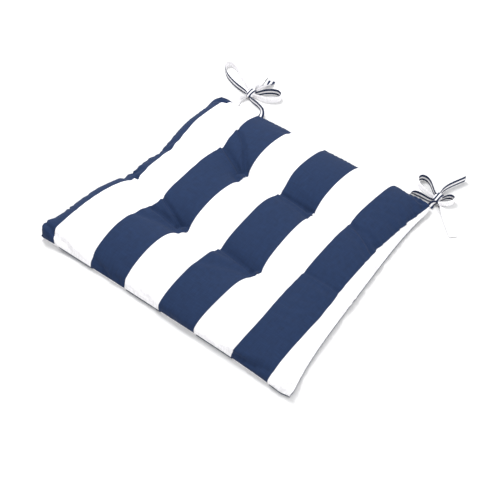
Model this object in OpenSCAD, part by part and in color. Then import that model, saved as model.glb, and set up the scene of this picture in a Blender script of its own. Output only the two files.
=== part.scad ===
/* [Pad] */
// Width across the front corners
front_width = 400; // [360:1:440]
// Back left corner, to the left of the middle of the front edge
back_left = 190; // [160:1:200]
// Back right corner, to the right of the middle of the front edge
back_right = 168; // [160:1:200]
// Depth from the front corners to the back corners
pad_depth = 360; // [330:1:400]
// How far the middle of the left side pulls in
left_bow = 15; // [4:1:18]
// How far the middle of the right side pulls in
right_bow = 11; // [4:1:16]
// How far the middle of the front and back edges pulls in
end_bow = 6; // [3:1:12]
// Height of the stuffed crown above the seam
crown_height = 30; // [24:1:36]
// How much fuller the front roll is than the rest, as a share
front_fullness = 0.3; // [0:0.05:0.4]

/* [Cover] */
// Thickness of the canvas panels
fabric = 0.8; // [0.6:0.1:1]
// Clear gap between layers that aren't sewn together
layer_gap = 0.8; // [0.6:0.1:1]

/* [Tufts] */
// Place of the left tufts across the pad, as a share of the half width
tuft_left = 0.295; // [0.26:0.005:0.34]
// Place of the right tufts across the pad, as a share of the half width
tuft_right = 0.36; // [0.3:0.005:0.4]
// Place of the tufts along the pad, as a share of the half depth
tuft_v = 0.355; // [0.28:0.005:0.4]
// How deep each tuft pulls the crown down
tuft_dip = 16; // [10:1:18]
// Radius of the hollow that a tuft makes
tuft_reach = 19; // [14:1:24]
// Diameter of the tuft thread
thread_d = 1.2; // [0.8:0.1:1.6]

/* [Ties] */
// Width of the tie tape
tie_width = 10; // [8:0.5:12]
// Thickness of the tie tape
tie_thick = 1.2; // [0.8:0.1:1.4]
// Share of its width that a tie loses inside its knot
knot_pinch = 0.4; // [0.2:0.05:0.5]

/* [Hidden] */

navy = [0.13, 0.2, 0.37];
white = [0.96, 0.95, 0.96];
wadding = [0.93, 0.93, 0.9];

// The layers at the edge, from the seat up: bottom panel, seam thread, top panel.
stitch_gap = 0.05;
seam_thread = 0.3;
rim_z = fabric + seam_thread + 2 * stitch_gap;
edge_power = 4;
crown_power = 0.45;
wall = 1.2;
rim_share = 0.4;

// The core keeps inside the panels, clear of the seam.
core_inset = 3;
core_floor = rim_z;
core_edge = rim_z + 0.8;
core_drop = fabric + layer_gap;

// Steps of the grid: between the tufts, and from a tuft to the edge.
inner_steps = 8;
outer_steps = 12;
edge_steps = 96;

// The pulled-up cup round each tuft on the underside.
cup_r = 8;
cup_top_r = 2;
cup_rise = 2;
thread_hole_r = 1.1;
thread_hole_turn = 11;
tack_length = 5;

// Knot centres and the reach of the pinch round them.
knot_l = [-159.5, 211];
knot_r = [162.8, 198.2];
pinch_reach = 9;
tie_rest = 0.3;

// Tie routes, from the seam to the free end: x, y and roll. At roll 0 the tape lies flat, and
// at 90 or -90 it stands on edge.
route_left_outer = [
    [-165, 178.2, 0], [-165, 183, 10], [-165, 188, 45], [-164, 194, 80], [-162.5, 200, 90],
    [-162, 204, 90], [-163.5, 207.5, 90], [-168, 209.8, 90], [-176, 210.5, 90], [-186, 212, 90],
    [-199, 216, 90], [-212, 222, 90], [-223, 231, 90], [-228, 239, 90], [-225, 245.5, 90],
    [-216, 245, 90], [-206, 240.5, 90], [-194, 233, 90], [-182, 225.5, 90], [-172, 219, 90],
    [-165, 215, 90], [-161.5, 215, 90], [-160.5, 218.5, 90], [-161, 224, 80], [-163, 231, 55],
    [-166, 240, 25], [-169, 250, 0], [-171, 260, 0]
];
route_left_inner = [
    [-120, 175.4, 0], [-120, 180, -5], [-121, 185, -30], [-124, 190, -60], [-129, 194, -85],
    [-136, 197, -90], [-144, 199, -90], [-151, 201, -90], [-155.5, 203.5, -90],
    [-157, 207, -90], [-155.8, 210.5, -90], [-152, 211.5, -90], [-145, 211.5, -90],
    [-136, 213.5, -90], [-127, 218.5, -90], [-121, 225.5, -90], [-122, 233, -90],
    [-129, 236.5, -90], [-137, 234, -90], [-145, 227.5, -90], [-151, 220, -90],
    [-155, 216.3, -90], [-157.3, 217, -90], [-157.5, 220.5, -90], [-156, 227, -85],
    [-154, 236, -60], [-152.5, 245, -25], [-154, 251, 0], [-156, 257, 0]
];
route_right_outer = [
    [161, 180.4, 0], [161.5, 182.8, 10], [162.5, 186, 50], [164, 190, 85], [165, 194, 90],
    [166, 198, 90], [168, 203, 90], [171, 208, 90], [176, 211, 90], [181, 209.5, 90],
    [182, 204, 90], [178.5, 198, 90], [173.5, 193.8, 90], [169.5, 191.5, 90],
    [168.5, 189.5, 95], [170.5, 188, 110], [176, 187.2, 145], [182, 183.5, 170], [188, 178, 180],
    [195, 171, 180], [204, 162.5, 180], [213, 154, 180]
];
route_right_inner = [
    [126, 176.9, 0], [126, 179.5, -5], [127, 182.5, -30], [130, 185.5, -60], [135, 187.5, -85],
    [142, 188.3, -90], [149, 188.5, -90], [155, 189, -90], [159, 191, -90], [160.5, 194, -90],
    [159.5, 196.8, -90], [156, 198, -90], [148, 198.5, -90], [138, 200.5, -90],
    [129, 205.5, -90], [124, 212.5, -90], [126, 218.5, -90], [133, 219.5, -90],
    [141, 215.5, -90], [149, 208.5, -90], [154.5, 204, -90], [158.5, 202.8, -90],
    [160.5, 205, -90], [160.3, 210, -90], [160.5, 216, -90], [162, 224, -90],
    [165, 233, -90], [169, 243, -90], [173, 253, -90]
];
tie_roots = [route_left_outer[0], route_left_inner[0], route_right_outer[0], route_right_inner[0]];

// The tufts' places at u and v.
tuft_us = [-tuft_left, tuft_right];
tuft_vs = [-tuft_v, tuft_v];

// The pad's sides at v, its middle line and half its width at v and half its depth at u, where
// u and v run from -1 to 1. The left side pulls in mostly between the tufts.
function left_side(v) = -front_width * (1 - v) / 4 - back_left * (1 + v) / 2
    + left_bow * pow(1 - v * v, 3);
function right_side(v) = front_width * (1 - v) / 4 + back_right * (1 + v) / 2
    - right_bow * (1 - pow(v, edge_power));
function middle_x(v) = (left_side(v) + right_side(v)) / 2;
function half_width(v) = (right_side(v) - left_side(v)) / 2;
function half_depth(u) = pad_depth / 2 - end_bow * (1 - pow(u, edge_power));

// The crown is full in the middle and falls steeply at the edges.
function swell(t) = pow(1 - pow(abs(t), edge_power), crown_power);
function bell(distance, reach) = exp(-distance * distance / (2 * reach * reach));
function front_roll(v) = 1 + front_fullness * bell(v + 0.66, 0.2);
function dips(u, v) = [
    for (a = tuft_us, b = tuft_vs)
        bell(norm([(u - a) * half_width(v), (v - b) * half_depth(u)]), tuft_reach)
];
function total(list, i = 0) = i == len(list) ? 0 : list[i] + total(list, i + 1);
function crown(u, v) = rim_z + crown_height * swell(u) * swell(v) * front_roll(v)
    - tuft_dip * total(dips(u, v));

// Height of the upper panel's inner face below a given outer height; it thins out at the rim.
function under(z) = max(z - fabric, rim_z + rim_share * (z - rim_z));

// A point of the pad at u and v, moved in from the edge by inset.
function place(u, v, inset, z) =
    [middle_x(v) + u * (half_width(v) - inset), v * (half_depth(u) - inset), z];

// Grid values with a line through each tuft, closer together at the edges.
function steps(tufts) = concat(
    [for (i = [outer_steps:-1:1]) tufts[0] - (1 + tufts[0]) * sin(90 * i / outer_steps)],
    [for (i = [0:inner_steps]) tufts[0] + (tufts[1] - tufts[0]) * i / inner_steps],
    [for (i = [1:outer_steps]) tufts[1] + (1 - tufts[1]) * sin(90 * i / outer_steps)]
);
u_steps = steps(tuft_us);
v_steps = steps(tuft_vs);
side = len(u_steps);
last = side - 1;

// The outline from the front left corner, anticlockwise seen from above.
function outline(inset) = [
    for (k = [0:edge_steps - 1])
        let (edge = floor(4 * k / edge_steps), t = 2 * (4 * k / edge_steps - edge) - 1)
        let (uv = [[t, -1], [1, t], [-t, 1], [-1, -t]][edge], p = place(uv[0], uv[1], inset, 0))
        [p[0], p[1]]
];

function grid_index(i, j) = i + j * side;
function grid_ring() = concat(
    [for (i = [0:last - 1]) grid_index(i, 0)],
    [for (j = [0:last - 1]) grid_index(last, j)],
    [for (i = [last:-1:1]) grid_index(i, last)],
    [for (j = [last:-1:1]) grid_index(0, j)]
);

// Two triangles per grid cell, facing up, or down when flipped. Every diagonal points at the
// nearest corner, so that no triangle lies wholly on the rim.
function grid_faces(first, flipped) = [
    for (i = [0:last - 1], j = [0:last - 1], half = [0, 1])
        let (a = first + grid_index(i, j), b = a + 1, c = b + side, d = a + side)
        let (rising = (i < last / 2) == (j < last / 2))
        let (up = rising ? (half == 0 ? [a, c, b] : [a, d, c])
            : (half == 0 ? [a, d, b] : [b, d, c]))
        flipped ? [up[2], up[1], up[0]] : up
];

// Wall triangles between the ring of one grid and the same ring of another.
function ring_wall(ring, first, second) = [
    for (k = [0:len(ring) - 1], half = [0, 1])
        let (a = ring[k], b = ring[(k + 1) % len(ring)])
        half == 0 ? [first + a, first + b, second + b] : [first + a, second + b, second + a]
];

// Upper panel: a thin shell that follows the crown down to the seam.
module cover_shell() {
    count = side * side;
    outer = [for (v = v_steps, u = u_steps) place(u, v, 0, crown(u, v))];
    inner = [for (v = v_steps, u = u_steps) place(u, v, wall, under(crown(u, v)))];
    polyhedron(
        points = concat(outer, inner),
        faces = concat(
            grid_faces(0, false),
            grid_faces(count, true),
            ring_wall(grid_ring(), 0, count)
        ),
        convexity = 4
    );
}

// Places its children at the four tufts.
module at_tufts(z = 0) {
    for (a = tuft_us, b = tuft_vs)
        translate(place(a, b, 0, z)) children();
}

// The way through for a tuft thread, turned so that no corner falls on a line of the grid.
module thread_hole() {
    rotate(thread_hole_turn) cylinder(r = thread_hole_r, h = 2 * crown_height, $fn = 6);
}

module cover_top() {
    color(navy) difference() {
        cover_shell();
        at_tufts() thread_hole();
    }
}

// Lower panel: flat where it rests on the seat, pulled up into a small cup at each tuft.
module cover_bottom() {
    color(white) {
        difference() {
            linear_extrude(fabric) polygon(outline(0));
            at_tufts(-fabric) cylinder(r = cup_r, h = 3 * fabric, $fn = 48);
        }
        at_tufts() rotate_extrude($fn = 48) polygon([
            [thread_hole_r, cup_rise], [cup_top_r, cup_rise], [cup_r, 0],
            [cup_r, fabric], [cup_top_r, cup_rise + fabric], [thread_hole_r, cup_rise + fabric]
        ]);
    }
}

// Loose polyester fibre that fills the cover, with a way through for each tuft thread.
module filling() {
    count = side * side;
    ring = grid_ring();
    top = [
        for (v = v_steps, u = u_steps)
            place(u, v, core_inset, max(core_edge, crown(u, v) - core_drop))
    ];
    base = [for (k = ring) [top[k][0], top[k][1], core_floor]];
    size = len(ring);
    middle = count + size;
    color(wadding) difference() {
        polyhedron(
            points = concat(top, base, [[0, 0, core_floor]]),
            faces = concat(
                grid_faces(0, false),
                [for (k = [0:size - 1]) [ring[k], ring[(k + 1) % size], count + (k + 1) % size]],
                [for (k = [0:size - 1]) [ring[k], count + (k + 1) % size, count + k]],
                [for (k = [0:size - 1]) [middle, count + k, count + (k + 1) % size]]
            ),
            convexity = 4
        );
        at_tufts() thread_hole();
        at_tufts() cylinder(r = cup_r + layer_gap, h = cup_rise + fabric + layer_gap, $fn = 8);
    }
}

// Line of lockstitch that joins the two panels all round, between them at the edge.
module edge_seam() {
    color(white) translate([0, 0, fabric + stitch_gap]) linear_extrude(seam_thread)
        difference() {
            polygon(outline(wall / 2));
            polygon(outline(wall / 2 + 0.4));
        }
}

// Row of hand stitches that closes the stuffing gap in the middle of the back edge.
module closing_stitch() {
    gap_length = 90;
    pitch = 4.5;
    stitch = 3.2;
    stitch_r = 0.35;
    color(white) for (x = [-gap_length / 2:pitch:gap_length / 2])
        translate([x, half_depth((x - middle_x(1)) / half_width(1)) + stitch_r + 0.2, rim_z + 1])
            rotate([0, 90, 0]) cylinder(r = stitch_r, h = stitch, center = true, $fn = 24);
}

// Tuft thread: down through the pad, with a short bar above the cover and one under it.
module tuft(a, b) {
    top_z = crown(a, b) + 2;
    low_z = 1.1;
    color(navy) translate(place(a, b, 0, 0)) {
        translate([0, 0, low_z]) cylinder(d = thread_d, h = top_z - low_z, $fn = 24);
        for (z = [low_z, top_z])
            translate([0, 0, z]) rotate([0, 90, 0])
                cylinder(d = thread_d, h = tack_length, center = true, $fn = 24);
    }
}

module tuft_front_left() { tuft(-tuft_left, -tuft_v); }
module tuft_front_right() { tuft(tuft_right, -tuft_v); }
module tuft_back_left() { tuft(-tuft_left, tuft_v); }
module tuft_back_right() { tuft(tuft_right, tuft_v); }

// The tape narrows near its knot, and always rests on the seat: its height follows its roll.
function tie_half(p, knot) =
    tie_width / 2 * (1 - knot_pinch * bell(norm([p[0] - knot[0], p[1] - knot[1]]), pinch_reach));
function tie_height(p, knot) =
    tie_rest + tie_half(p, knot) * abs(sin(p[2])) + tie_thick / 2 * abs(cos(p[2]));
function unit(v) = v / norm(v);
function heading(route, i) =
    unit([
        route[min(i + 1, len(route) - 1)][0] - route[max(i - 1, 0)][0],
        route[min(i + 1, len(route) - 1)][1] - route[max(i - 1, 0)][1]
    ]);

// One ring of the tape: a flat section with eased edges, turned by the roll.
function tie_ring(route, i, knot) =
    let (
        p = route[i], ahead = heading(route, i), left = [-ahead[1], ahead[0]],
        w = tie_half(p, knot), t = tie_thick / 2, ease = t / 2,
        section = [
            [w - ease, -t], [w, -t + ease], [w, t - ease], [w - ease, t],
            [ease - w, t], [-w, t - ease], [-w, ease - t], [ease - w, -t]
        ]
    )
    [
        for (s = section)
            let (
                across = s[0] * cos(p[2]) - s[1] * sin(p[2]),
                up = s[0] * sin(p[2]) + s[1] * cos(p[2])
            )
            [p[0] + left[0] * across, p[1] + left[1] * across, tie_height(p, knot) + up]
    ];

module tie(route, knot) {
    sides = 8;
    rings = len(route);
    points = [for (i = [0:rings - 1]) each tie_ring(route, i, knot)];
    skin = [
        for (i = [0:rings - 2], k = [0:sides - 1], half = [0, 1])
            let (
                a = i * sides + k, b = i * sides + (k + 1) % sides, c = b + sides, d = a + sides
            )
            half == 0 ? [a, b, c] : [a, c, d]
    ];
    color(white) polyhedron(
        points = points,
        faces = concat(
            skin,
            [[for (k = [sides - 1:-1:0]) k]],
            [[for (k = [0:sides - 1]) (rings - 1) * sides + k]]
        ),
        convexity = 6
    );
}

module tie_left_outer() { tie(route_left_outer, knot_l); }
module tie_left_inner() { tie(route_left_inner, knot_l); }
module tie_right_outer() { tie(route_right_outer, knot_r); }
module tie_right_inner() { tie(route_right_inner, knot_r); }

// Bar tack across the root of each tie, which stops it from pulling out of the seam.
module tie_bar_tacks() {
    tack_r = 0.4;
    tack_span = 7;
    color(white) for (root = tie_roots)
        translate([root[0], root[1] + 2, tie_rest + tie_thick + tack_r + 0.15])
            rotate([0, 90, 0]) cylinder(r = tack_r, h = tack_span, center = true, $fn = 24);
}

// The drawn-up middle of a bow: a core between the four passes of tape and the turn over them.
module knot(centre) {
    core_r = 2;
    cap_r = 7;
    cap_low = 7.2;
    cap_rise = 3.6;
    ease = 1.6;
    color(white) translate([centre[0], centre[1], 0]) rotate_extrude($fn = 48) polygon(concat(
        [[0, tie_rest], [core_r, tie_rest], [core_r, cap_low], [cap_r - ease, cap_low]],
        [
            for (a = [-75:15:75])
                [cap_r - ease + ease * cos(a), cap_low + cap_rise / 2 + cap_rise / 2 * sin(a)]
        ],
        [[0, cap_low + cap_rise]]
    ));
}

module knot_left() { knot(knot_l); }
module knot_right() { knot(knot_r); }

cover_top();
cover_bottom();
filling();
edge_seam();
closing_stitch();
tuft_front_left();
tuft_front_right();
tuft_back_left();
tuft_back_right();
tie_left_outer();
tie_left_inner();
tie_right_outer();
tie_right_inner();
tie_bar_tacks();
knot_left();
knot_right();
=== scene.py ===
import math

import bpy
import numpy as np
from mathutils import Matrix, Vector


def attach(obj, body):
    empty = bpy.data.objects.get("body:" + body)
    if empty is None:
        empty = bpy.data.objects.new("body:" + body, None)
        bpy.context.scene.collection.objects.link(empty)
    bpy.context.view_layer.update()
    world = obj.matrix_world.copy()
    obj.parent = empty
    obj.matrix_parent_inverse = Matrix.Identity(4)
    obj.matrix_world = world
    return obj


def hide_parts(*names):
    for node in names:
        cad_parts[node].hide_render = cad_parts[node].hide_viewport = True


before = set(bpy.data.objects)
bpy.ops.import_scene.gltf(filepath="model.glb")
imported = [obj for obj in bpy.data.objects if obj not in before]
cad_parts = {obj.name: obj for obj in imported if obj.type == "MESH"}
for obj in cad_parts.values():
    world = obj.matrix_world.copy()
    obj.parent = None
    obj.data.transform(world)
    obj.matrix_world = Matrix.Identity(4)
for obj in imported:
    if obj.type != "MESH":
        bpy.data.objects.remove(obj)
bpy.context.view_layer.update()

# ---------------------------------------------------------------- camera
AZIMUTH, ELEVATION, ROLL = (math.radians(a) for a in (37.32, 48.07, 1.0))
DISTANCE = 1.412
LOOK_AT = Vector((0.018, -0.030, 0))
LENS_MM = 80.2
SENSOR_MM = 36


def link(made):
    bpy.context.scene.collection.objects.link(made)
    return made


def add_camera():
    back = Vector((
        math.sin(AZIMUTH) * math.cos(ELEVATION),
        -math.cos(AZIMUTH) * math.cos(ELEVATION),
        math.sin(ELEVATION),
    ))
    level = (-back).cross(Vector((0, 0, 1))).normalized()
    upright = level.cross(-back)
    right = level * math.cos(ROLL) + upright * math.sin(ROLL)
    up = upright * math.cos(ROLL) - level * math.sin(ROLL)
    camera = link(bpy.data.objects.new("camera", bpy.data.cameras.new("camera")))
    turn = Matrix((right, up, back)).transposed().to_4x4()
    camera.matrix_world = Matrix.Translation(LOOK_AT + back * DISTANCE) @ turn
    camera.data.sensor_width = SENSOR_MM
    camera.data.lens = LENS_MM
    bpy.context.scene.camera = camera


add_camera()

# ---------------------------------------------------------------- mesh helpers


def mesh_piece(name, points, faces, material, smooth=True):
    mesh = bpy.data.meshes.new(name)
    mesh.from_pydata([tuple(map(float, p)) for p in points], [], faces)
    mesh.update()
    made = link(bpy.data.objects.new(name, mesh))
    if material:
        mesh.materials.append(material)
    for face in mesh.polygons:
        face.use_smooth = smooth
    return made


def set_uv(piece, name, coords):
    """Gives each corner of the mesh its vertex's flat coordinate."""
    mesh = piece.data
    corners = np.zeros(len(mesh.loops), np.int64)
    mesh.loops.foreach_get("vertex_index", corners)
    layer = mesh.uv_layers.new(name=name)
    layer.data.foreach_set("uv", np.asarray(coords, np.float32)[corners].ravel())


def grid_faces(columns, rows, flipped=False):
    faces = [
        (a, a + 1, a + 1 + columns, a + columns)
        for j in range(rows - 1)
        for a in range(j * columns, j * columns + columns - 1)
    ]
    return [f[::-1] for f in faces] if flipped else faces


def ring_faces(rings, around, first=0, closed=False):
    """Quads between each ring of points and the next, and from the last to the first if closed."""
    faces = []
    for i in range(rings if closed else rings - 1):
        here, ahead = first + i * around, first + (i + 1) % rings * around
        for k in range(around):
            turn = (k + 1) % around
            faces.append((here + k, here + turn, ahead + turn, ahead + k))
    return faces


class Tubes:
    """Threads of one piece: round tubes along short paths, with closed ends."""

    def __init__(self, sides=6):
        self.sides, self.points, self.faces = sides, [], []

    def add(self, path, radius):
        path = [Vector(p) for p in path]
        first = len(self.points)
        side = None
        for i, p in enumerate(path):
            ahead = (path[min(i + 1, len(path) - 1)] - path[max(i - 1, 0)]).normalized()
            guide = side or (Vector((0, 0, 1)) if abs(ahead.z) < 0.9 else Vector((1, 0, 0)))
            side = (guide - ahead * guide.dot(ahead)).normalized()
            across = ahead.cross(side)
            end = i in (0, len(path) - 1)
            r = radius * (0.6 if end else 1)
            for k in range(self.sides):
                a = 2 * math.pi * k / self.sides
                self.points.append(p + side * (r * math.cos(a)) + across * (r * math.sin(a)))
        self.faces += ring_faces(len(path), self.sides, first)
        tail = first + (len(path) - 1) * self.sides
        self.faces.append(tuple(range(first + self.sides - 1, first - 1, -1)))
        self.faces.append(tuple(range(tail, tail + self.sides)))

    def piece(self, name, material):
        return mesh_piece(name, self.points, self.faces, material)


# ---------------------------------------------------------------- materials
NAVY = (0.0130, 0.0285, 0.0775, 1)
WHITE = (0.91, 0.90, 0.92, 1)
TAPE_NAVY = (0.012, 0.022, 0.058, 1)
STRIPE_START = -0.1697
STRIPE_WIDTH = 0.05606
EDGE_SOFTNESS = 0.0004
WEAVE_PITCH = 0.00055


class Nodes:
    """A short way to write shader nodes: every call makes one node and returns its output."""

    def __init__(self, name):
        self.material = bpy.data.materials.new(name)
        self.material.use_nodes = True
        self.tree = self.material.node_tree
        self.shader = self.tree.nodes["Principled BSDF"]

    def put(self, socket, value):
        if isinstance(value, bpy.types.NodeSocket):
            self.tree.links.new(value, socket)
        else:
            socket.default_value = value

    def math(self, operation, a, b=0.0):
        node = self.tree.nodes.new("ShaderNodeMath")
        node.operation = operation
        self.put(node.inputs[0], a)
        self.put(node.inputs[1], b)
        return node.outputs[0]

    def split(self, vector):
        node = self.tree.nodes.new("ShaderNodeSeparateXYZ")
        self.put(node.inputs[0], vector)
        return node.outputs[0], node.outputs[1]

    def join(self, x, y, z=0.0):
        node = self.tree.nodes.new("ShaderNodeCombineXYZ")
        for socket, value in zip(node.inputs, (x, y, z)):
            self.put(socket, value)
        return node.outputs[0]

    def uv(self, name):
        node = self.tree.nodes.new("ShaderNodeUVMap")
        node.uv_map = name
        return node.outputs[0]

    def place(self):
        return self.tree.nodes.new("ShaderNodeTexCoord").outputs["Object"]

    def noise(self, vector, scale, detail=2.0):
        node = self.tree.nodes.new("ShaderNodeTexNoise")
        self.put(node.inputs["Vector"], vector)
        self.put(node.inputs["Scale"], scale)
        self.put(node.inputs["Detail"], detail)
        return node.outputs["Fac"]

    def mix(self, share, a, b):
        node = self.tree.nodes.new("ShaderNodeMix")
        node.data_type = "RGBA"
        self.put(node.inputs[0], share)
        self.put(node.inputs[6], a)
        self.put(node.inputs[7], b)
        return node.outputs[2]

    def ramp(self, value, low, high):
        node = self.tree.nodes.new("ShaderNodeMapRange")
        for socket, v in zip(node.inputs, (value, low, high, 0.0, 1.0)):
            self.put(socket, v)
        return node.outputs[0]

    def bump(self, height, strength, distance):
        node = self.tree.nodes.new("ShaderNodeBump")
        self.put(node.inputs["Height"], height)
        self.put(node.inputs["Strength"], strength)
        self.put(node.inputs["Distance"], distance)
        self.put(self.shader.inputs["Normal"], node.outputs[0])

    def finish(self, colour, roughness, sheen=0.0):
        self.put(self.shader.inputs["Base Color"], colour)
        self.put(self.shader.inputs["Roughness"], roughness)
        self.shader.inputs["Specular IOR Level"].default_value = 0.15
        self.shader.inputs["Sheen Weight"].default_value = sheen
        self.shader.inputs["Sheen Roughness"].default_value = 0.5
        return self.material


def woven(n, x, y, colour):
    """Plain weave over a coordinate in metres: crossing threads, uneven yarn and faint mottling."""
    over = n.math("MULTIPLY", n.math("SINE", n.math("MULTIPLY", x, math.pi / WEAVE_PITCH)),
                  n.math("SINE", n.math("MULTIPLY", y, math.pi / WEAVE_PITCH)))
    warp = n.noise(n.join(n.math("MULTIPLY", x, 900.0), n.math("MULTIPLY", y, 60.0)), 1.0)
    weft = n.noise(n.join(n.math("MULTIPLY", x, 60.0), n.math("MULTIPLY", y, 900.0)), 1.0)
    yarn = n.math("ADD", warp, weft)
    mottle = n.noise(n.join(x, y), 140.0, 5.0)
    shade = n.math("ADD", n.math("MULTIPLY", yarn, 0.5), n.math("MULTIPLY", mottle, 0.4))
    shade = n.math("ADD", shade, n.math("MULTIPLY", over, 0.05))
    tone = n.ramp(shade, 0.45, 0.95)
    node = n.tree.nodes.new("ShaderNodeHueSaturation")
    n.put(node.inputs["Value"], n.math("ADD", n.math("MULTIPLY", tone, 0.44), 0.78))
    n.put(node.inputs["Color"], colour)
    height = n.math("ADD", over, n.math("MULTIPLY", yarn, 1.2))
    return node.outputs[0], height, tone


def striped_canvas(name, mirrored):
    n = Nodes(name)
    x, y = n.split(n.uv("fabric"))
    start = -STRIPE_START if mirrored else STRIPE_START
    along = n.math("SUBTRACT", x, start)
    # A triangle wave that is above 0.5 in the white stripes.
    cycle = n.math("PINGPONG", n.math("ADD", along, STRIPE_WIDTH / 2), STRIPE_WIDTH)
    white = n.ramp(cycle, STRIPE_WIDTH / 2 - EDGE_SOFTNESS, STRIPE_WIDTH / 2 + EDGE_SOFTNESS)
    if mirrored:
        white = n.math("SUBTRACT", 1.0, white)
    colour, height, tone = woven(n, x, y, n.mix(white, NAVY, WHITE))
    n.bump(height, 0.35, 0.00012)
    return n.finish(colour, n.math("ADD", n.math("MULTIPLY", tone, 0.1), 0.78), sheen=0.03)


def tape_material():
    """Folded tape: one face white, the other navy along both edges."""
    n = Nodes("tie_tape")
    x, y = n.split(n.uv("tape"))
    band = n.math("ABSOLUTE", y)
    navy = n.math("MULTIPLY", n.ramp(band, 0.26, 0.32), n.ramp(band, 1.9, 1.7))
    colour, height, tone = woven(
        n, x, n.math("MULTIPLY", y, 0.005), n.mix(navy, WHITE, TAPE_NAVY)
    )
    n.bump(height, 0.4, 0.0001)
    return n.finish(colour, n.math("ADD", n.math("MULTIPLY", tone, 0.1), 0.72), sheen=0.12)


def thread_material(name, colour):
    """Spun thread: fine slanting plies along it."""
    n = Nodes(name)
    place = n.place()
    ply = n.noise(place, 2600.0, 1.0)
    fuzz = n.noise(place, 700.0, 3.0)
    darker = tuple(c * 0.72 for c in colour[:3]) + (1,)
    n.bump(ply, 0.5, 0.0001)
    return n.finish(n.mix(n.ramp(fuzz, 0.3, 0.7), darker, colour), n.math("ADD", ply, 0.2), sheen=0.2)


def fibre_material():
    n = Nodes("polyester_fibre")
    place = n.place()
    strands = n.noise(n.join(n.noise(place, 60.0), n.noise(place, 110.0)), 30.0, 6.0)
    n.bump(strands, 0.8, 0.0008)
    return n.finish(n.mix(strands, (0.70, 0.70, 0.67, 1), (0.88, 0.88, 0.85, 1)), 0.9, sheen=0.3)


CANVAS = striped_canvas("striped_canvas", mirrored=False)
CANVAS_UNDER = striped_canvas("striped_canvas_underside", mirrored=True)
TAPE = tape_material()
SEAM_THREAD = thread_material("seam_thread", (0.80, 0.79, 0.80, 1))
TUFT_THREAD = thread_material("tuft_thread", (0.020, 0.035, 0.085, 1))
FIBRE = fibre_material()

# ---------------------------------------------------------------- ties
# The routes of part.scad: x and y in millimetres and roll in degrees, from the seam outwards.
MM = 0.001
TIE_WIDTH, TIE_THICK, TIE_REST = 10, 1.2, 0.3
KNOT_PINCH, PINCH_REACH = 0.4, 9
KNOT_LEFT, KNOT_RIGHT = (-159.5, 211), (162.8, 198.2)
# A knot's height, the half sizes of its gathered lump and those of the turn of tape round it.
KNOT_MIDDLE = 5.6
LUMP_X, LUMP_Y, LUMP_Z = 5.6, 7.0, 4.1
WRAP_Y, WRAP_Z = 8.0, 4.25
ROUTES = {
    "tie_left_outer": (KNOT_LEFT, [
        (-165, 178.2, 0), (-165, 183, 10), (-165, 188, 45), (-164, 194, 80), (-162.5, 200, 90),
        (-162, 204, 90), (-163.5, 207.5, 90), (-168, 209.8, 90), (-176, 210.5, 90),
        (-186, 212, 90), (-199, 216, 90), (-212, 222, 90), (-223, 231, 90), (-228, 239, 90),
        (-225, 245.5, 90), (-216, 245, 90), (-206, 240.5, 90), (-194, 233, 90),
        (-182, 225.5, 90), (-172, 219, 90), (-165, 215, 90), (-161.5, 215, 90),
        (-160.5, 218.5, 90), (-161, 224, 80), (-163, 231, 55), (-166, 240, 25),
        (-169, 250, 0), (-171, 260, 0),
    ]),
    "tie_left_inner": (KNOT_LEFT, [
        (-120, 175.4, 0), (-120, 180, -5), (-121, 185, -30), (-124, 190, -60), (-129, 194, -85),
        (-136, 197, -90), (-144, 199, -90), (-151, 201, -90), (-155.5, 203.5, -90),
        (-157, 207, -90), (-155.8, 210.5, -90), (-152, 211.5, -90), (-145, 211.5, -90),
        (-136, 213.5, -90), (-127, 218.5, -90), (-121, 225.5, -90), (-122, 233, -90),
        (-129, 236.5, -90), (-137, 234, -90), (-145, 227.5, -90), (-151, 220, -90),
        (-155, 216.3, -90), (-157.3, 217, -90), (-157.5, 220.5, -90), (-156, 227, -85),
        (-154, 236, -60), (-152.5, 245, -25), (-154, 251, 0), (-156, 257, 0),
    ]),
    "tie_right_outer": (KNOT_RIGHT, [
        (161, 180.4, 0), (161.5, 182.8, 10), (162.5, 186, 50), (164, 190, 85), (165, 194, 90),
        (166, 198, 90), (168, 203, 90), (171, 208, 90), (176, 211, 90), (181, 209.5, 90),
        (182, 204, 90), (178.5, 198, 90), (173.5, 193.8, 90), (169.5, 191.5, 90),
        (168.5, 189.5, 95), (170.5, 188, 110), (176, 187.2, 145), (182, 183.5, 170),
        (188, 178, 180), (195, 171, 180), (204, 162.5, 180), (213, 154, 180),
    ]),
    "tie_right_inner": (KNOT_RIGHT, [
        (126, 176.9, 0), (126, 179.5, -5), (127, 182.5, -30), (130, 185.5, -60),
        (135, 187.5, -85), (142, 188.3, -90), (149, 188.5, -90), (155, 189, -90),
        (159, 191, -90), (160.5, 194, -90), (159.5, 196.8, -90), (156, 198, -90),
        (148, 198.5, -90), (138, 200.5, -90), (129, 205.5, -90), (124, 212.5, -90),
        (126, 218.5, -90), (133, 219.5, -90), (141, 215.5, -90), (149, 208.5, -90),
        (154.5, 204, -90), (158.5, 202.8, -90), (160.5, 205, -90), (160.3, 210, -90),
        (160.5, 216, -90), (162, 224, -90), (165, 233, -90), (169, 243, -90), (173, 253, -90),
    ]),
}
# These two ties are sewn on with their banded face up.
BANDED_UP = ("tie_left_inner", "tie_right_outer")
TIE_STEP = 1.0
STITCH_PITCH, STITCH_LENGTH, STITCH_RADIUS = 3.0, 2.0, 0.22
TAPE_RIPPLE, RIPPLE_TURN = 0.12, 2.1
# The tape's second coordinate runs from -1 to 1 over the banded face and from 2 to 4 over the white one.
BANDED_FACE, WHITE_FACE = 0, 3


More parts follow.
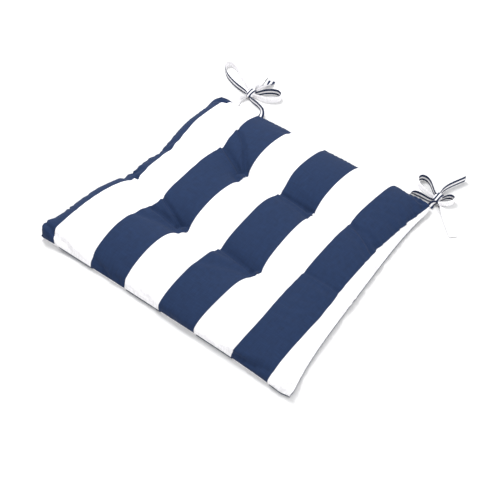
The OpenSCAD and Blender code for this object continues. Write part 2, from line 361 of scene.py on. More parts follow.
def smooth_route(route):
    """Points along a Catmull-Rom curve through the route, about a millimetre apart."""
    p = np.array([route[0], *route, route[-1]], float)
    made = []
    for i in range(1, len(p) - 2):
        steps = max(2, int(np.hypot(*(p[i + 1] - p[i])[:2]) / TIE_STEP))
        for k in range(steps):
            t = k / steps
            made.append(0.5 * (
                2 * p[i] + (p[i + 1] - p[i - 1]) * t
                + (2 * p[i - 1] - 5 * p[i] + 4 * p[i + 1] - p[i + 2]) * t**2
                + (3 * p[i] - p[i - 1] - 3 * p[i + 1] + p[i + 2]) * t**3
            ))
    made.append(p[-1])
    return np.array(made)


def tie_frames(route, knot):
    """For each point of a tie: its centre, the ways across it and out of its face, its half width."""
    p = smooth_route(route)
    ahead = np.gradient(p[:, :2], axis=0)
    ahead /= np.linalg.norm(ahead, axis=1)[:, None]
    left = np.stack([-ahead[:, 1], ahead[:, 0], np.zeros(len(p))], 1)
    up = np.array([0.0, 0.0, 1.0])
    roll = np.radians(p[:, 2])[:, None]
    across = left * np.cos(roll) + up * np.sin(roll)
    out = up * np.cos(roll) - left * np.sin(roll)
    off_x, off_y = p[:, 0] - knot[0], p[:, 1] - knot[1]
    near = np.exp(-((off_x**2 + off_y**2) / (2 * PINCH_REACH**2)))
    half = TIE_WIDTH / 2 * (1 - KNOT_PINCH * near)
    z = TIE_REST + half * np.abs(np.sin(roll[:, 0])) + TIE_THICK / 2 * np.abs(np.cos(roll[:, 0]))
    centre = np.column_stack([p[:, 0], p[:, 1], z])
    return centre, across, out, half


def add_tie(name):
    knot, route = ROUTES[name]
    centre, across, out, half = tie_frames(route, knot)
    run = np.concatenate([[0], np.cumsum(np.linalg.norm(np.diff(centre, axis=0), axis=1))])
    # The section goes round the tape, over its upper face and back. The stitch line dents it.
    shares = np.array([-1, -0.86, -0.45, -0.12, 0.12, 0.45, 0.86, 1])
    thick = TIE_THICK / 2 * np.array([0.35, 0.95, 1, 0.72, 0.72, 1, 0.95, 0.35])
    up, down = (BANDED_FACE, WHITE_FACE) if name in BANDED_UP else (WHITE_FACE, BANDED_FACE)
    section = [(a, t, up + a) for a, t in zip(shares, thick)]
    section += [(a, -t, down + a) for a, t in zip(shares[::-1], thick[::-1])]
    ripple = TAPE_RIPPLE * np.sin(run * RIPPLE_TURN + len(name))
    points, coords = [], []
    for i in range(len(centre)):
        for share, lift, band in section:
            offset = across[i] * share * half[i] + out[i] * (lift + ripple[i] * (1 - share**2))
            points.append((centre[i] + offset) * MM)
            coords.append((run[i] * MM, WHITE_FACE if i >= len(centre) - 2 else band))
    ring = len(section)
    faces = ring_faces(len(centre), ring)
    faces += [tuple(range(ring - 1, -1, -1)), tuple(range(len(points) - ring, len(points)))]
    tape = mesh_piece(name + "_tape", points, faces, TAPE)
    set_uv(tape, "tape", coords)
    threads = Tubes()
    for start in np.arange(2, run[-1] - 3, STITCH_PITCH):
        for face in (1, -1):
            path = []
            for share, lift in ((0, 0.2), (0.2, 0.5), (0.8, 0.5), (1, 0.2)):
                at = start + share * STITCH_LENGTH
                c = [np.interp(at, run, centre[:, a]) for a in range(3)]
                o = np.array([np.interp(at, run, out[:, a]) for a in range(3)])
                r = np.interp(at, run, ripple)
                path.append((np.array(c) + o * (face * (TIE_THICK * 0.36 + lift * 0.3) + r)) * MM)
            threads.add(path, STITCH_RADIUS * MM)
    stitching = threads.piece(name + "_stitching", SEAM_THREAD)
    for piece, slot in ((tape, "tie_tape"), (stitching, "seam_thread")):
        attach(piece, "root")
    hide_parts(name)


def add_knot(name, node, centre):
    """The middle of a bow: a gathered lump of tape with one turn of tape round it."""
    cx, cy = centre
    columns, rows = 28, 14
    points, coords = [], []
    for j in range(rows + 1):
        lat = math.pi * (j / rows - 0.5)
        for i in range(columns):
            lon = 2 * math.pi * i / columns
            pucker = 1 + 0.07 * math.sin(5 * lon + 2 * lat) + 0.05 * math.sin(9 * lon)
            x = LUMP_X * math.cos(lat) * math.cos(lon) * pucker
            y = LUMP_Y * math.cos(lat) * math.sin(lon) * pucker
            points.append(((cx + x) * MM, (cy + y) * MM, (KNOT_MIDDLE + LUMP_Z * math.sin(lat)) * MM))
            coords.append((y * MM, WHITE_FACE + x / 5))
    faces = ring_faces(rows + 1, columns)
    first = len(points)
    turns = 40
    profile = [(-1, 0.2), (-0.8, 0.75), (-0.3, 0.55), (0, 0.8), (0.3, 0.55), (0.8, 0.75), (1, 0.2)]
    section = [(a, t, a) for a, t in profile] + [(a, -t, WHITE_FACE + a) for a, t in profile[::-1]]
    for i in range(turns):
        a = 2 * math.pi * i / turns
        half = 4.0 + 0.5 * math.sin(2 * a + 0.6)
        for share, lift, band in section:
            r_y, r_z = WRAP_Y + lift, WRAP_Z + lift * 0.6
            slant = 1.2 * math.sin(a)
            points.append((
                (cx + share * half + slant) * MM,
                (cy + r_y * math.cos(a)) * MM,
                (KNOT_MIDDLE - 0.1 + r_z * math.sin(a)) * MM,
            ))
            coords.append((a * 7 * MM, band))
    faces += ring_faces(turns, len(section), first, closed=True)
    knot = mesh_piece(name, points, faces, TAPE)
    set_uv(knot, "tape", coords)
    soften = knot.modifiers.new("soften", "SUBSURF")
    soften.levels = soften.render_levels = 1
    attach(knot, "root")
    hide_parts(node)


for tie in ROUTES:
    add_tie(tie)
add_knot("knot_left_wrap", "knot_left", KNOT_LEFT)
add_knot("knot_right_wrap", "knot_right", KNOT_RIGHT)

# ---------------------------------------------------------------- the pad's shape, as in part.scad
FRONT_WIDTH, BACK_LEFT, BACK_RIGHT, PAD_DEPTH = 0.400, 0.190, 0.168, 0.360
LEFT_BOW, RIGHT_BOW, END_BOW = 0.015, 0.011, 0.006
RIM_Z, CROWN_HEIGHT, FRONT_FULLNESS = 0.0012, 0.030, 0.3
TUFT_US, TUFT_VS = (-0.295, 0.36), (-0.355, 0.355)
TUFT_NAMES = (("front_left", "back_left"), ("front_right", "back_right"))
TUFT_DIP, TUFT_REACH = 0.016, 0.019
# The sewn cover is a little fuller at its edges than the CAD crown.
CROWN_POWER = 0.36
# The outer faces of the two panels at the seam, where they lie on each other.
TOP_RIM, UNDER_RIM = 0.0032, 0.0016
CLOTH_THICK = 0.0008
# How near a deep fold comes to the seat, and over what height it is eased.
FOLD_FLOOR, FOLD_EASE = 0.0065, 0.0035


def left_side(v):
    return -FRONT_WIDTH * (1 - v) / 4 - BACK_LEFT * (1 + v) / 2 + LEFT_BOW * (1 - v * v) ** 3


def right_side(v):
    return FRONT_WIDTH * (1 - v) / 4 + BACK_RIGHT * (1 + v) / 2 - RIGHT_BOW * (1 - v**4)


def half_width(v):
    return (right_side(v) - left_side(v)) / 2


def half_depth(u):
    return PAD_DEPTH / 2 - END_BOW * (1 - u**4)


def place(u, v):
    return (left_side(v) + right_side(v)) / 2 + u * half_width(v), v * half_depth(u)


def tuft_places():
    """Each tuft: which one it is across and along, and its x and y on the sewn pad."""
    return [
        (i, j, *place(np.float64(a), np.float64(b)))
        for i, a in enumerate(TUFT_US)
        for j, b in enumerate(TUFT_VS)
    ]


def swell(t):
    return np.maximum(1 - t**4, 0) ** CROWN_POWER


def bell(distance, reach):
    return np.exp(-((distance / reach) ** 2) / 2)


def smoothstep(low, high, x):
    t = np.clip((x - low) / (high - low), 0, 1)
    return t * t * (3 - 2 * t)


def crown(u, v):
    full = swell(u) * swell(v)
    z = RIM_Z + CROWN_HEIGHT * full * (1 + FRONT_FULLNESS * bell(v + 0.66, 0.2))
    for mid_u, mid_v, reach_u, reach_v, rise in PUFFS:
        z = z + rise * bell(u - mid_u, reach_u) * bell(v - mid_v, reach_v) * full
    for a in TUFT_US:
        for b in TUFT_VS:
            z = z - TUFT_DIP * bell(
                np.hypot((u - a) * half_width(v), (v - b) * half_depth(u)), TUFT_REACH
            )
    return z


# Where the stuffing is fuller or flatter than the even crown: middle u and v, reaches, rise.
PUFFS = [
    (-0.9, -0.68, 0.2, 0.24, 0.012), (0.45, -0.62, 0.4, 0.25, -0.007),
    (-0.93, -0.93, 0.1, 0.1, 0.020), (0.93, -0.93, 0.1, 0.1, 0.014),
]
CORNER_REACH, CORNER_PULL = 0.007, 0.0035
# Corners whose seam lifts off the seat: u, v, reach, rise.
LIFTS = [(-1, -1, 0.022, 0.002), (-1, 1, 0.02, 0.004), (1, 1, 0.02, 0.003)]
# Outward bulge of the walls: everywhere, at the front left and at the back left.
WALL_BULGE, WALL_HEIGHT = 0.004, 0.024
FRONT_LEFT_BULGE, BACK_LEFT_BULGE = 0.007, 0.005

# ---------------------------------------------------------------- the upper panel, as sewn cloth
CELLS_X, CELLS_Y = 94, 88
# Half the pad's middle width and depth, for spacing the cells evenly over the crown.
HALF_ACROSS, HALF_ALONG = 0.188, 0.176
GATHER = 1.01
CUT_FRONT, CUT_BACK, CUT_DEPTH = FRONT_WIDTH * GATHER, (BACK_LEFT + BACK_RIGHT) * GATHER, 0.384
# The tufts' places on the flat cloth, and the heights that they are pulled down to.
TUFT_XS, TUFT_YS = (-0.060, 0.056), (-0.0611, 0.0660)
TUFT_ZS = ((0.014, 0.013), (0.013, 0.012))
# The cloth that a tuft pinches: its reach, how far it is drawn together and how steeply it rises.
TUFT_PINCH, PINCH_DRAW, PINCH_SLOPE = 0.0048, 0.5, 0.4
# Tucks of spare cloth along each side: how tightly it bunches, and where.
TUCKS = {-1: (0.7, (-0.70, -0.15, 0.13)), 1: (0.35, (-0.14, 0.31))}
TUCK_REACH = 0.018
# How firmly the stuffing holds the free cloth, and the frames of the simulation.
SOFT_HOLD, SEWN_BY, LAST_FRAME = 0.3, 15, 30


def cut_half(t):
    return (CUT_FRONT * (1 - t) + CUT_BACK * (1 + t)) / 4


def cut_across(s, t):
    """Where a point of the cloth lies across the flat cut piece."""
    shift = (BACK_LEFT - BACK_RIGHT) / 2 * (1 + t) / 2
    return s * cut_half(t) - GATHER * shift


def seam_distance(s, t):
    """How far a point of the cloth is from its nearest seam, on the flat cut piece."""
    return np.minimum((1 - np.abs(s)) * cut_half(t), (1 - np.abs(t)) * CUT_DEPTH / 2)


def arc_share(cells, half_length):
    """Shares from -1 to 1 that are even along the crown's profile, not along the seat."""
    t = np.linspace(-1, 1, 2001)
    step = np.hypot(np.diff(t) * half_length, np.diff(swell(t)) * CROWN_HEIGHT)
    length = np.concatenate([[0], np.cumsum(step)])
    return np.interp(np.linspace(0, length[-1], cells + 1), length, t)


def cloth_grid():
    s, t = np.meshgrid(np.linspace(-1, 1, CELLS_X + 1), np.linspace(-1, 1, CELLS_Y + 1))
    u_arc, v_arc = np.meshgrid(arc_share(CELLS_X, HALF_ACROSS), arc_share(CELLS_Y, HALF_ALONG))
    u = s + (u_arc - s) * swell(t)
    v = t + (v_arc - t) * swell(s)
    fine = np.linspace(-1, 1, 4001)
    for side, (tightness, places) in TUCKS.items():
        density = 1 - sum(tightness * bell(fine - c, TUCK_REACH) for c in places)
        total = np.cumsum(density)
        bunched = np.interp(t, fine, 2 * (total - total[0]) / (total[-1] - total[0]) - 1)
        v = v + (bunched - t) * np.clip((side * s - 0.9) / 0.1, 0, 1) ** 1.5
    return s, t, u, v


def rounded_place(u, v):
    """The outline with its corners drawn in, as they are once turned right side out."""
    x, y = place(u, v)
    for corner_u in (-1.0, 1.0):
        for corner_v in (-1.0, 1.0):
            cx, cy = place(np.float64(corner_u), np.float64(corner_v))
            near = bell(np.hypot(x - cx, y - cy), CORNER_REACH)
            x, y = x - corner_u * CORNER_PULL * near, y - corner_v * CORNER_PULL * near
    return x, y


def sewn_shape(u, v):
    """Where the cloth is held: exactly at the seam and tufts, and softly elsewhere by the stuffing."""
    x, y = rounded_place(u, v)
    z = np.maximum(crown(u, v), TOP_RIM)
    for corner_u, corner_v, reach, rise in LIFTS:
        cx, cy = place(np.float64(corner_u), np.float64(corner_v))
        z = z + rise * bell(np.hypot(x - cx, y - cy), reach)
    wall = np.sin(np.pi * np.clip((z - TOP_RIM) / WALL_HEIGHT, 0, 1))
    left = FRONT_LEFT_BULGE * bell(v + 0.62, 0.28) + BACK_LEFT_BULGE * bell(v - 0.75, 0.22)
    x = x + (WALL_BULGE + np.where(u < 0, left, 0)) * wall * u**9 * swell(v)
    y = y + WALL_BULGE * wall * v**9 * swell(u)
    return np.stack([x.ravel(), y.ravel(), z.ravel()], 1)


# Where the stuffing has drifted to a side: side, rise and fall along t, push in x and z.
SIDE_PUSHES = [
    (-1, (-1.08, -0.92), (-0.5, -0.12), -0.010, 0.006),
    (-1, (0.2, 0.6), (0.9, 1.0), -0.006, 0.003),
    (1, (-0.45, 0.0), (0.85, 1.02), -0.006, 0.002),
]
# And where it fills a front corner: u, v, push in x and z.
CORNER_PUSHES = [(-1.0, -1.0, -0.003, 0.006), (1.0, -1.0, 0.003, 0.005)]


def settle(points, s, t):
    """Pushes the cloth beside the seam where the stuffing has drifted, but not the seam itself."""
    s, t = s.ravel(), t.ravel()
    for side, rise, fall, push_x, push_z in SIDE_PUSHES:
        away = (1 - side * s) * cut_half(t)
        w = 1 - np.exp(-((away / 0.010) ** 2))
        w = w * np.exp(-((np.maximum(away - 0.022, 0) / 0.038) ** 2))
        w = w * smoothstep(*rise, t) * (1 - smoothstep(*fall, t))
        points[:, 0] += push_x * w
        points[:, 2] += push_z * w
    for corner_u, corner_v, push_x, push_z in CORNER_PUSHES:
        cx, cy = place(corner_u, corner_v)
        away = np.hypot(points[:, 0] - cx, points[:, 1] - cy)
        w = bell(away - 0.013, 0.009) * (1 - np.exp(-((away / 0.005) ** 2)))
        w = w * smoothstep(0, 0.004, (1 - np.abs(s)) * cut_half(t))
        w = w * smoothstep(0, 0.004, (1 - np.abs(t)) * CUT_DEPTH / 2)
        points[:, 0] += push_x * w
        points[:, 2] += push_z * w


def tuft_distance(x, y):
    """How far each point is from its nearest tuft."""
    return np.min([np.hypot(x - px, y - py) for _, _, px, py in tuft_places()], axis=0)


def smooth_stuffing(points, s, t):
    """The fibre irons out small wrinkles, away from the walls, and rounds the hollow of each tuft."""
    grid = points.reshape(*s.shape, 3)
    inner = seam_distance(s, t)
    away = tuft_distance(grid[:, :, 0], grid[:, :, 1])
    open_share = smoothstep(0.004, 0.012, away) * smoothstep(0.008, 0.03, inner)
    hollow_share = smoothstep(0.001, 0.003, away) * (1 - smoothstep(0.010, 0.018, away))
    for share, rounds in ((open_share, 3), (hollow_share, 7)):
        for _ in range(rounds):
            around = sum(np.roll(grid, step, axis) for axis in (0, 1) for step in (-1, 1)) / 4
            grid += (0.6 * share)[:, :, None] * (around - grid)


def simulate(flat, sewn, hard):
    """Sews the flat cloth to its seam and tufts while the stuffing's pressure fills it."""
    cut = mesh_piece("cut_cloth", flat, grid_faces(CELLS_X + 1, CELLS_Y + 1), None)
    held = cut.vertex_groups.new(name="held")
    held.add([int(i) for i in np.flatnonzero(hard)], 1.0, "REPLACE")
    held.add([int(i) for i in np.flatnonzero(~hard)], SOFT_HOLD, "REPLACE")
    cut.shape_key_add(name="flat")
    key = cut.shape_key_add(name="sewn")
    key.data.foreach_set("co", sewn.astype(np.float32).ravel())
    for value, number in ((0, 1), (1, SEWN_BY)):
        key.value = value
        key.keyframe_insert("value", frame=number)
    cloth = cut.modifiers.new("cloth", "CLOTH")
    settings = cloth.settings
    settings.vertex_group_mass = held.name
    settings.quality = 5
    settings.mass = 0.1
    settings.tension_stiffness = settings.compression_stiffness = 15
    settings.shear_stiffness = 5
    settings.tension_damping = settings.compression_damping = settings.shear_damping = 1
    settings.bending_stiffness, settings.bending_damping = 1, 0.5
    settings.air_damping = 1
    settings.use_pressure = True
    settings.uniform_pressure_force = 10
    settings.effector_weights.gravity = 0
    cloth.collision_settings.use_self_collision = False
    cloth.point_cache.frame_start, cloth.point_cache.frame_end = 1, LAST_FRAME
    for number in range(1, LAST_FRAME + 1):
        bpy.context.scene.frame_set(number)
    done = cut.evaluated_get(bpy.context.evaluated_depsgraph_get())
    points = np.zeros(len(done.data.vertices) * 3)
    done.data.vertices.foreach_get("co", points)
    mesh = cut.data
    bpy.data.objects.remove(cut)
    bpy.data.meshes.remove(mesh)
    bpy.context.scene.frame_set(1)
    return points.reshape(-1, 3)


def refine(grid):
    """Halves the grid's cells both ways, with a smooth curve through the old points."""
    for axis in (0, 1):
        grid = np.moveaxis(grid, axis, 0)
        before = np.concatenate([2 * grid[:1] - grid[1:2], grid[:-2]])
        after = np.concatenate([grid[2:], 2 * grid[-1:] - grid[-2:-1]])
        middle = (9 * (grid[:-1] + grid[1:]) - before - after) / 16
        fine = np.zeros((2 * len(grid) - 1, *grid.shape[1:]))
        fine[::2], fine[1::2] = grid, middle
        grid = np.moveaxis(fine, 0, axis)
    return grid


def normals(grid):
    normal = np.cross(np.gradient(grid, axis=1), np.gradient(grid, axis=0))
    return normal / np.linalg.norm(normal, axis=2)[:, :, None]


# Folds pulled by the tufts: points on the seat, depth of the wide hollow, depth of the sharp fold.
CREASES = [
    ([(-0.060, -0.060), (-0.108, -0.042), (-0.165, -0.031)], 0.0035, 0.0040),
    ([(-0.058, -0.062), (-0.105, -0.064)], 0.0020, 0.0030),
    ([(-0.058, -0.062), (-0.003, -0.060), (0.063, -0.063)], 0.0025, 0.0030),
    ([(0.063, -0.062), (0.112, -0.031), (0.157, -0.027)], 0.0025, 0.0016),
    ([(-0.055, 0.062), (-0.110, 0.084), (-0.140, 0.080)], 0.0030, 0.0036),
    ([(-0.055, 0.064), (-0.085, 0.100), (-0.114, 0.124)], 0.0030, 0.0036),
    ([(-0.055, 0.062), (0.006, 0.063), (0.058, 0.066)], 0.0040, 0.0036),
    ([(0.058, 0.067), (0.110, 0.073), (0.156, 0.053)], 0.0030, 0.0022),
]
HOLLOW_REACH, FOLD_REACH = 0.010, 0.0020
PUCKER_PITCH, PUCKER_HEIGHT = 0.0085, 0.0005


def crease_height(x, y):
    """Hollows with a sharp fold along them, whose front lip stands up a little."""
    height = np.zeros(x.shape)
    for line, hollow, fold in CREASES:
        nearest = np.full(x.shape, 9.0)
        signed = np.zeros(x.shape)
        for (ax, ay), (bx, by) in zip(line, line[1:]):
            dx, dy = bx - ax, by - ay
            share = np.clip(((x - ax) * dx + (y - ay) * dy) / (dx * dx + dy * dy), 0, 1)
            off_x, off_y = x - ax - share * dx, y - ay - share * dy
            away = np.hypot(off_x, off_y)
            closer = away < nearest
            signed = np.where(closer, np.where(off_y < 0, away, -away), signed)
            nearest = np.where(closer, away, nearest)
        sharp = bell(signed, FOLD_REACH) - 0.5 * bell(signed - 2.2 * FOLD_REACH, 1.3 * FOLD_REACH)
        height = height - hollow * bell(nearest, HOLLOW_REACH) - fold * sharp * (nearest < 0.02)
    return height


def pucker_height(s, t):
    """Small gathers beside the seam, dying away up the wall."""
    x, y = s * cut_half(t), t * CUT_DEPTH / 2
    height = np.zeros(s.shape)
    for away, along in (
        ((1 - s) * cut_half(t), y), ((1 + s) * cut_half(t), y + 0.4),
        ((1 - t) * CUT_DEPTH / 2, x), ((1 + t) * CUT_DEPTH / 2, x + 0.7),
    ):
        turn = 2 * np.pi * along
        wave = np.sin(turn / PUCKER_PITCH + 2.2 * np.sin(turn / 0.037) + 1.5 * np.sin(turn / 0.023))
        height = height + PUCKER_HEIGHT * wave * np.exp(-(((away - 0.006) / 0.007) ** 2))
    return height


def held_up(z, inner):
    """Keeps the deepest folds off the lower panel, with some fibre left under them."""
    start = FOLD_FLOOR + FOLD_EASE
    raised = np.where(z < start, FOLD_FLOOR + FOLD_EASE * np.exp((z - start) / FOLD_EASE), z)
    return z + (raised - z) * smoothstep(0.02, 0.035, inner)


def top_panel():
    s, t, u, v = cloth_grid()
    across = cut_across(s, t)
    flat = np.stack([across.ravel(), t.ravel() * CUT_DEPTH / 2, np.full(s.size, TOP_RIM)], 1)
    sewn = sewn_shape(u, v)
    hard = ((np.abs(s) == 1) | (np.abs(t) == 1)).ravel()
    for i, j, px, py in tuft_places():
        away = np.hypot(flat[:, 0] - TUFT_XS[i], flat[:, 1] - TUFT_YS[j])
        near = away < TUFT_PINCH
        offset = flat[near, :2] - flat[away.argmin(), :2]
        sewn[near, 0] = px + offset[:, 0] * PINCH_DRAW
        sewn[near, 1] = py + offset[:, 1] * PINCH_DRAW
        sewn[near, 2] = TUFT_ZS[i][j] + np.hypot(*offset.T) * PINCH_SLOPE
        hard |= near
    points = simulate(flat, sewn, hard)
    settle(points, s, t)
    smooth_stuffing(points, s, t)
    grid = refine(points.reshape(*s.shape, 3))
    fine_s, fine_t = refine(s), refine(t)
    inner = seam_distance(fine_s, fine_t)
    height = crease_height(grid[:, :, 0], grid[:, :, 1]) * smoothstep(0.004, 0.02, inner)
    height = height * smoothstep(0.002, 0.006, tuft_distance(grid[:, :, 0], grid[:, :, 1]))
    height = (height + pucker_height(fine_s, fine_t)) * smoothstep(0, 0.003, inner)
    grid = grid + normals(grid) * height[:, :, None]
    grid[:, :, 2] = held_up(grid[:, :, 2], inner)
    rows, columns = fine_s.shape
    panel = mesh_piece("cover_top_fabric", grid.reshape(-1, 3), grid_faces(columns, rows), CANVAS)
    set_uv(panel, "fabric", stripe_coords(refine(across).ravel(), fine_t.ravel()))
    thicken(panel)
    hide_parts("cover_top")
    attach(panel, "root")
    return grid[::2, ::2], s, t


# Where the printed stripes drift sideways on the stuffed cover: place, reach and drift.
DRIFTS = [
    (-0.170, -0.45, 0.015, 0.3, 0.0045), (-0.170, 0.62, 0.015, 0.3, 0.0055),
    (-0.113, -0.27, 0.02, 0.06, 0.003),
    (-0.113, 0.5, 0.02, 0.1, 0.004), (0.0, 0.36, 0.02, 0.1, 0.0055),
    (0.0545, -0.62, 0.04, 0.15, 0.004), (0.0545, -0.05, 0.02, 0.18, 0.005),
    (0.1106, -0.7, 0.02, 0.15, 0.003),
    *((x, y / (CUT_DEPTH / 2), 0.006, 0.025, 0.0015) for x in TUFT_XS for y in TUFT_YS),
]


def stripe_coords(across, t):
    x = across.copy()
    for mid_x, mid_t, reach_x, reach_t, drift in DRIFTS:
        x -= drift * bell(across - mid_x, reach_x) * bell(t - mid_t, reach_t)
    return np.stack([x, t * CUT_DEPTH / 2], 1)


def thicken(panel):
    body = panel.modifiers.new("thickness", "SOLIDIFY")
    body.thickness = CLOTH_THICK
    body.offset = -1


# ---------------------------------------------------------------- lower panel, stuffing and stitches
# Gathers of the lower panel beside the seam: height, middle and spread.
GATHER_RISE, GATHER_INSET, GATHER_SPREAD = 0.00035, 0.012, 0.010
# How wide a strip of the lower panel turns up to the seam.
TURN_UP = 0.006
# A tuft's pull on the lower panel: rise and reach, then rise, middle and reach of the pleats round it.
PULL_RISE, PULL_REACH = 0.0022, 0.0055
PLEAT_RISE, PLEAT_MIDDLE, PLEAT_REACH, PLEATS = 0.0004, 0.009, 0.006, 7
# The fibre: depth under the cloth, least drop below it, share of its width, and lowest heights.
FIBRE_DEPTH, FIBRE_DROP, FIBRE_SHARE = 0.004, 0.0024, 0.985
FIBRE_FLOOR, FIBRE_EDGE = 0.0036, 0.0006
# Lockstitches of the seam: pitch, length, distance in from the rim, sink and thread radius.
SEAM_PITCH, SEAM_STITCH, SEAM_INSET, SEAM_SINK, SEAM_RADIUS = 0.0030, 0.0024, 0.0018, 0.00012, 0.00016
CLOSING_COUNT, CLOSING_START, CLOSING_PITCH = 21, -0.045, 0.0045


def rim_ring(columns, rows):
    """Indices of a grid's rim, anticlockwise from the front left corner."""
    front = list(range(columns - 1))
    right = [columns - 1 + j * columns for j in range(rows - 1)]
    back = [columns * rows - 1 - i for i in range(columns - 1)]
    left = [columns * (rows - 1) - j * columns for j in range(rows - 1)]
    return front + right + back + left


def lower_panel(points, s, t):
    """Rests flat on the seat, rises to the seam at its rim and is pulled up a little at each tuft."""
    x, y = rounded_place(s, t)
    rim = points[:, :, 2] - (TOP_RIM - UNDER_RIM)
    edge_x = np.minimum(1 - s, 1 + s) * half_width(t)
    edge_y = np.minimum(1 - t, 1 + t) * half_depth(s)
    side = np.where(s < 0, rim[:, :1], rim[:, -1:]) * np.exp(-edge_x / TURN_UP)
    end = np.where(t < 0, rim[:1], rim[-1:]) * np.exp(-edge_y / TURN_UP)
    z = np.maximum(side, end)
    inside = np.minimum(edge_x, edge_y)
    gathers = np.sin(x / 0.0046 + 2 * np.sin(x / 0.031)) * np.sin(y / 0.0051 + 2 * np.sin(y / 0.027))
    beside_seam = np.exp(-(((inside - GATHER_INSET) / GATHER_SPREAD) ** 2)) * (inside > 0.0005)
    z = z + GATHER_RISE * (1 + gathers) * beside_seam
    for _, _, px, py in tuft_places():
        away = np.hypot(x - px, y - py)
        turn = np.arctan2(y - py, x - px)
        z = z + PULL_RISE * np.exp(-((away / PULL_REACH) ** 2))
        around = np.exp(-(((away - PLEAT_MIDDLE) / PLEAT_REACH) ** 2))
        z = z + PLEAT_RISE * (1 + np.cos(PLEATS * turn)) * around
    z = np.minimum(z, rim)
    grid = np.stack([x.ravel(), y.ravel(), z.ravel()], 1)
    faces = grid_faces(CELLS_X + 1, CELLS_Y + 1, flipped=True)
    panel = mesh_piece("cover_bottom_fabric", grid, faces, CANVAS_UNDER)
    set_uv(panel, "fabric", np.stack([cut_across(s, t).ravel(), t.ravel() * CUT_DEPTH / 2], 1))
    thicken(panel)
    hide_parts("cover_bottom")
    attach(panel, "root")


def stuffing(points):
    """Fibre that follows the upper panel from inside and lies flat on the lower one."""
    low = points[:, :, 2].copy()
    for axis in (0, 1):
        for step in (-1, 1):
            low = np.minimum(low, np.roll(low, step, axis))
    core = points - normals(points) * FIBRE_DEPTH
    core[:, :, 2] = np.minimum(core[:, :, 2], low - FIBRE_DROP)
    core = core[2:-2, 2:-2]
    middle = core.mean((0, 1))
    core[:, :, :2] = middle[:2] + (core[:, :, :2] - middle[:2]) * FIBRE_SHARE
    core[:, :, 2] = np.maximum(core[:, :, 2], FIBRE_FLOOR + FIBRE_EDGE)
    core = core[::2, ::2]
    rows, columns = core.shape[:2]
    top = core.reshape(-1, 3)
    ring = rim_ring(columns, rows)
    base = [(top[k][0], top[k][1], FIBRE_FLOOR) for k in ring]
    base.append((middle[0], middle[1], FIBRE_FLOOR))
    faces = grid_faces(columns, rows)
    count, size = len(top), len(ring)
    faces += [(ring[k], count + k, count + (k + 1) % size, ring[(k + 1) % size]) for k in range(size)]
    faces += [(count + size, count + (k + 1) % size, count + k) for k in range(size)]
    fibre = mesh_piece("filling_fibre", [*top, *base], faces, FIBRE)
    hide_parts("filling")
    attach(fibre, "root")


def edge_stitches(points):
    """Lockstitches between the two panels, set in from the rim all round."""
    ring = points.reshape(-1, 3)[rim_ring(CELLS_X + 1, CELLS_Y + 1)]
    ring = np.vstack([ring, ring[:1]])
    run = np.concatenate([[0], np.cumsum(np.linalg.norm(np.diff(ring, axis=0), axis=1))])
    middle = ring[:, :2].mean(0)
    threads = Tubes(5)
    for start in np.arange(0, run[-1] - SEAM_PITCH, SEAM_PITCH):
        path = []
        for share, sink in ((0, 0), (0.3, SEAM_SINK), (0.7, SEAM_SINK), (1, 0)):
            p = np.array([np.interp(start + share * SEAM_STITCH, run, ring[:, a]) for a in range(3)])
            inward = middle - p[:2]
            p[:2] += inward / np.linalg.norm(inward) * SEAM_INSET
            p[2] -= TOP_RIM - UNDER_RIM - sink
            path.append(p)
        threads.add(path, SEAM_RADIUS)
    seam = threads.piece("edge_seam_stitches", SEAM_THREAD)
    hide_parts("edge_seam")
    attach(seam, "root")


def closing_stitches():
    """Slanting hand stitches over the seam in the middle of the back edge."""
    threads = Tubes()
    middle_u = (BACK_LEFT - BACK_RIGHT) / (BACK_LEFT + BACK_RIGHT)
    for k in range(CLOSING_COUNT):
        x = CLOSING_START + CLOSING_PITCH * k
        y = half_depth(x / ((BACK_LEFT + BACK_RIGHT) / 2) + middle_u)
        path = [
            (x - 0.0016, y - 0.0010, TOP_RIM + 0.0022),
            (x - 0.0010, y + 0.0004, TOP_RIM + 0.0016),
            (x, y + 0.0008, TOP_RIM),
            (x + 0.0010, y + 0.0005, UNDER_RIM - 0.0006),
            (x + 0.0016, y - 0.0008, UNDER_RIM - 0.0012),
        ]
        threads.add(path, 0.0003)
    row = threads.piece("closing_stitch_thread", SEAM_THREAD)
    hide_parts("closing_stitch")
    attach(row, "root")


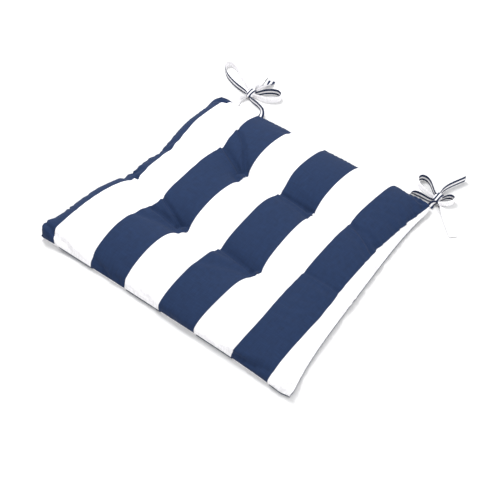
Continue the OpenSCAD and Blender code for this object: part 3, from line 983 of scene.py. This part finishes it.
def tuft_threads(points):
    """Two turns of doubled thread at each tuft, lying in the hollow and tied underneath."""
    points = points.reshape(-1, 3)
    bottom, bow, twist = 0.0012, 0.0004, 0.0004
    for i, j, px, py in tuft_places():
        away = np.hypot(points[:, 0] - px, points[:, 1] - py)
        top = points[away < 0.003, 2].max() + bow
        threads = Tubes(8)
        for strand in (-1, 1):
            for z, rise in ((top, bow), (bottom, -bow)):
                threads.add([
                    (px + 0.0024 * q, py + strand * 0.0005 * (1.4 - abs(q)) + 0.0003 * q,
                     z + rise * (1 - q * q))
                    for q in np.linspace(-1, 1, 9)
                ], 0.00042)
            threads.add([
                (px + strand * twist * math.cos(q * 9), py + strand * twist * math.sin(q * 9),
                 bottom + (top - bottom) * q)
                for q in np.linspace(0, 1, 24)
            ], 0.00038)
        name = "tuft_" + TUFT_NAMES[i][j]
        thread = threads.piece(name + "_thread", TUFT_THREAD)
        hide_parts(name)
        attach(thread, "root")


def bar_tacks():
    """A close zigzag of thread across the root of each tie."""
    threads = Tubes()
    for _, route in ROUTES.values():
        x, y = route[0][0], route[0][1]
        path = [
            ((x - 3.5 + 7 * k / 20) * MM, (y + 1.2 + 1.6 * (k % 2)) * MM,
             (TIE_REST + TIE_THICK + 0.22) * MM)
            for k in range(21)
        ]
        threads.add(path, 0.00026)
    tacks = threads.piece("bar_tack_threads", SEAM_THREAD)
    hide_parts("tie_bar_tacks")
    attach(tacks, "root")


points, s, t = top_panel()
lower_panel(points, s, t)
stuffing(points)
edge_stitches(points)
closing_stitches()
tuft_threads(points)
bar_tacks()


# ---------------------------------------------------------------- floor, light and view
def add_floor():
    n = Nodes("floor")
    tint = n.noise(n.place(), 3.0, 2.0)
    material = n.finish(n.mix(tint, (0.77, 0.77, 0.775, 1), (0.79, 0.79, 0.795, 1)), 0.9)
    size, drop = 4.0, -0.0004
    corners = [(-size, -size, drop), (size, -size, drop), (size, size, drop), (-size, size, drop)]
    floor = mesh_piece("floor", corners, [(0, 1, 2, 3)], material, smooth=False)


def add_light(name, location, size, energy):
    lamp = link(bpy.data.objects.new(name, bpy.data.lights.new(name, "AREA")))
    lamp.data.energy = energy
    lamp.data.size = size
    lamp.location = location
    lamp.rotation_euler = (-Vector(location)).to_track_quat("-Z", "Y").to_euler()


def add_world(strength):
    world = bpy.data.worlds.new("world")
    world.use_nodes = True
    background = world.node_tree.nodes["Background"]
    background.inputs["Color"].default_value = (1, 1, 1, 1)
    background.inputs["Strength"].default_value = strength
    bpy.context.scene.world = world


add_floor()
add_world(0.86)
add_light("key", (-0.7, 0.35, 1.2), 0.5, 16)
add_light("fill", (1.3, -0.4, 0.6), 1.2, 7)
bpy.context.scene.view_settings.view_transform = "Standard"
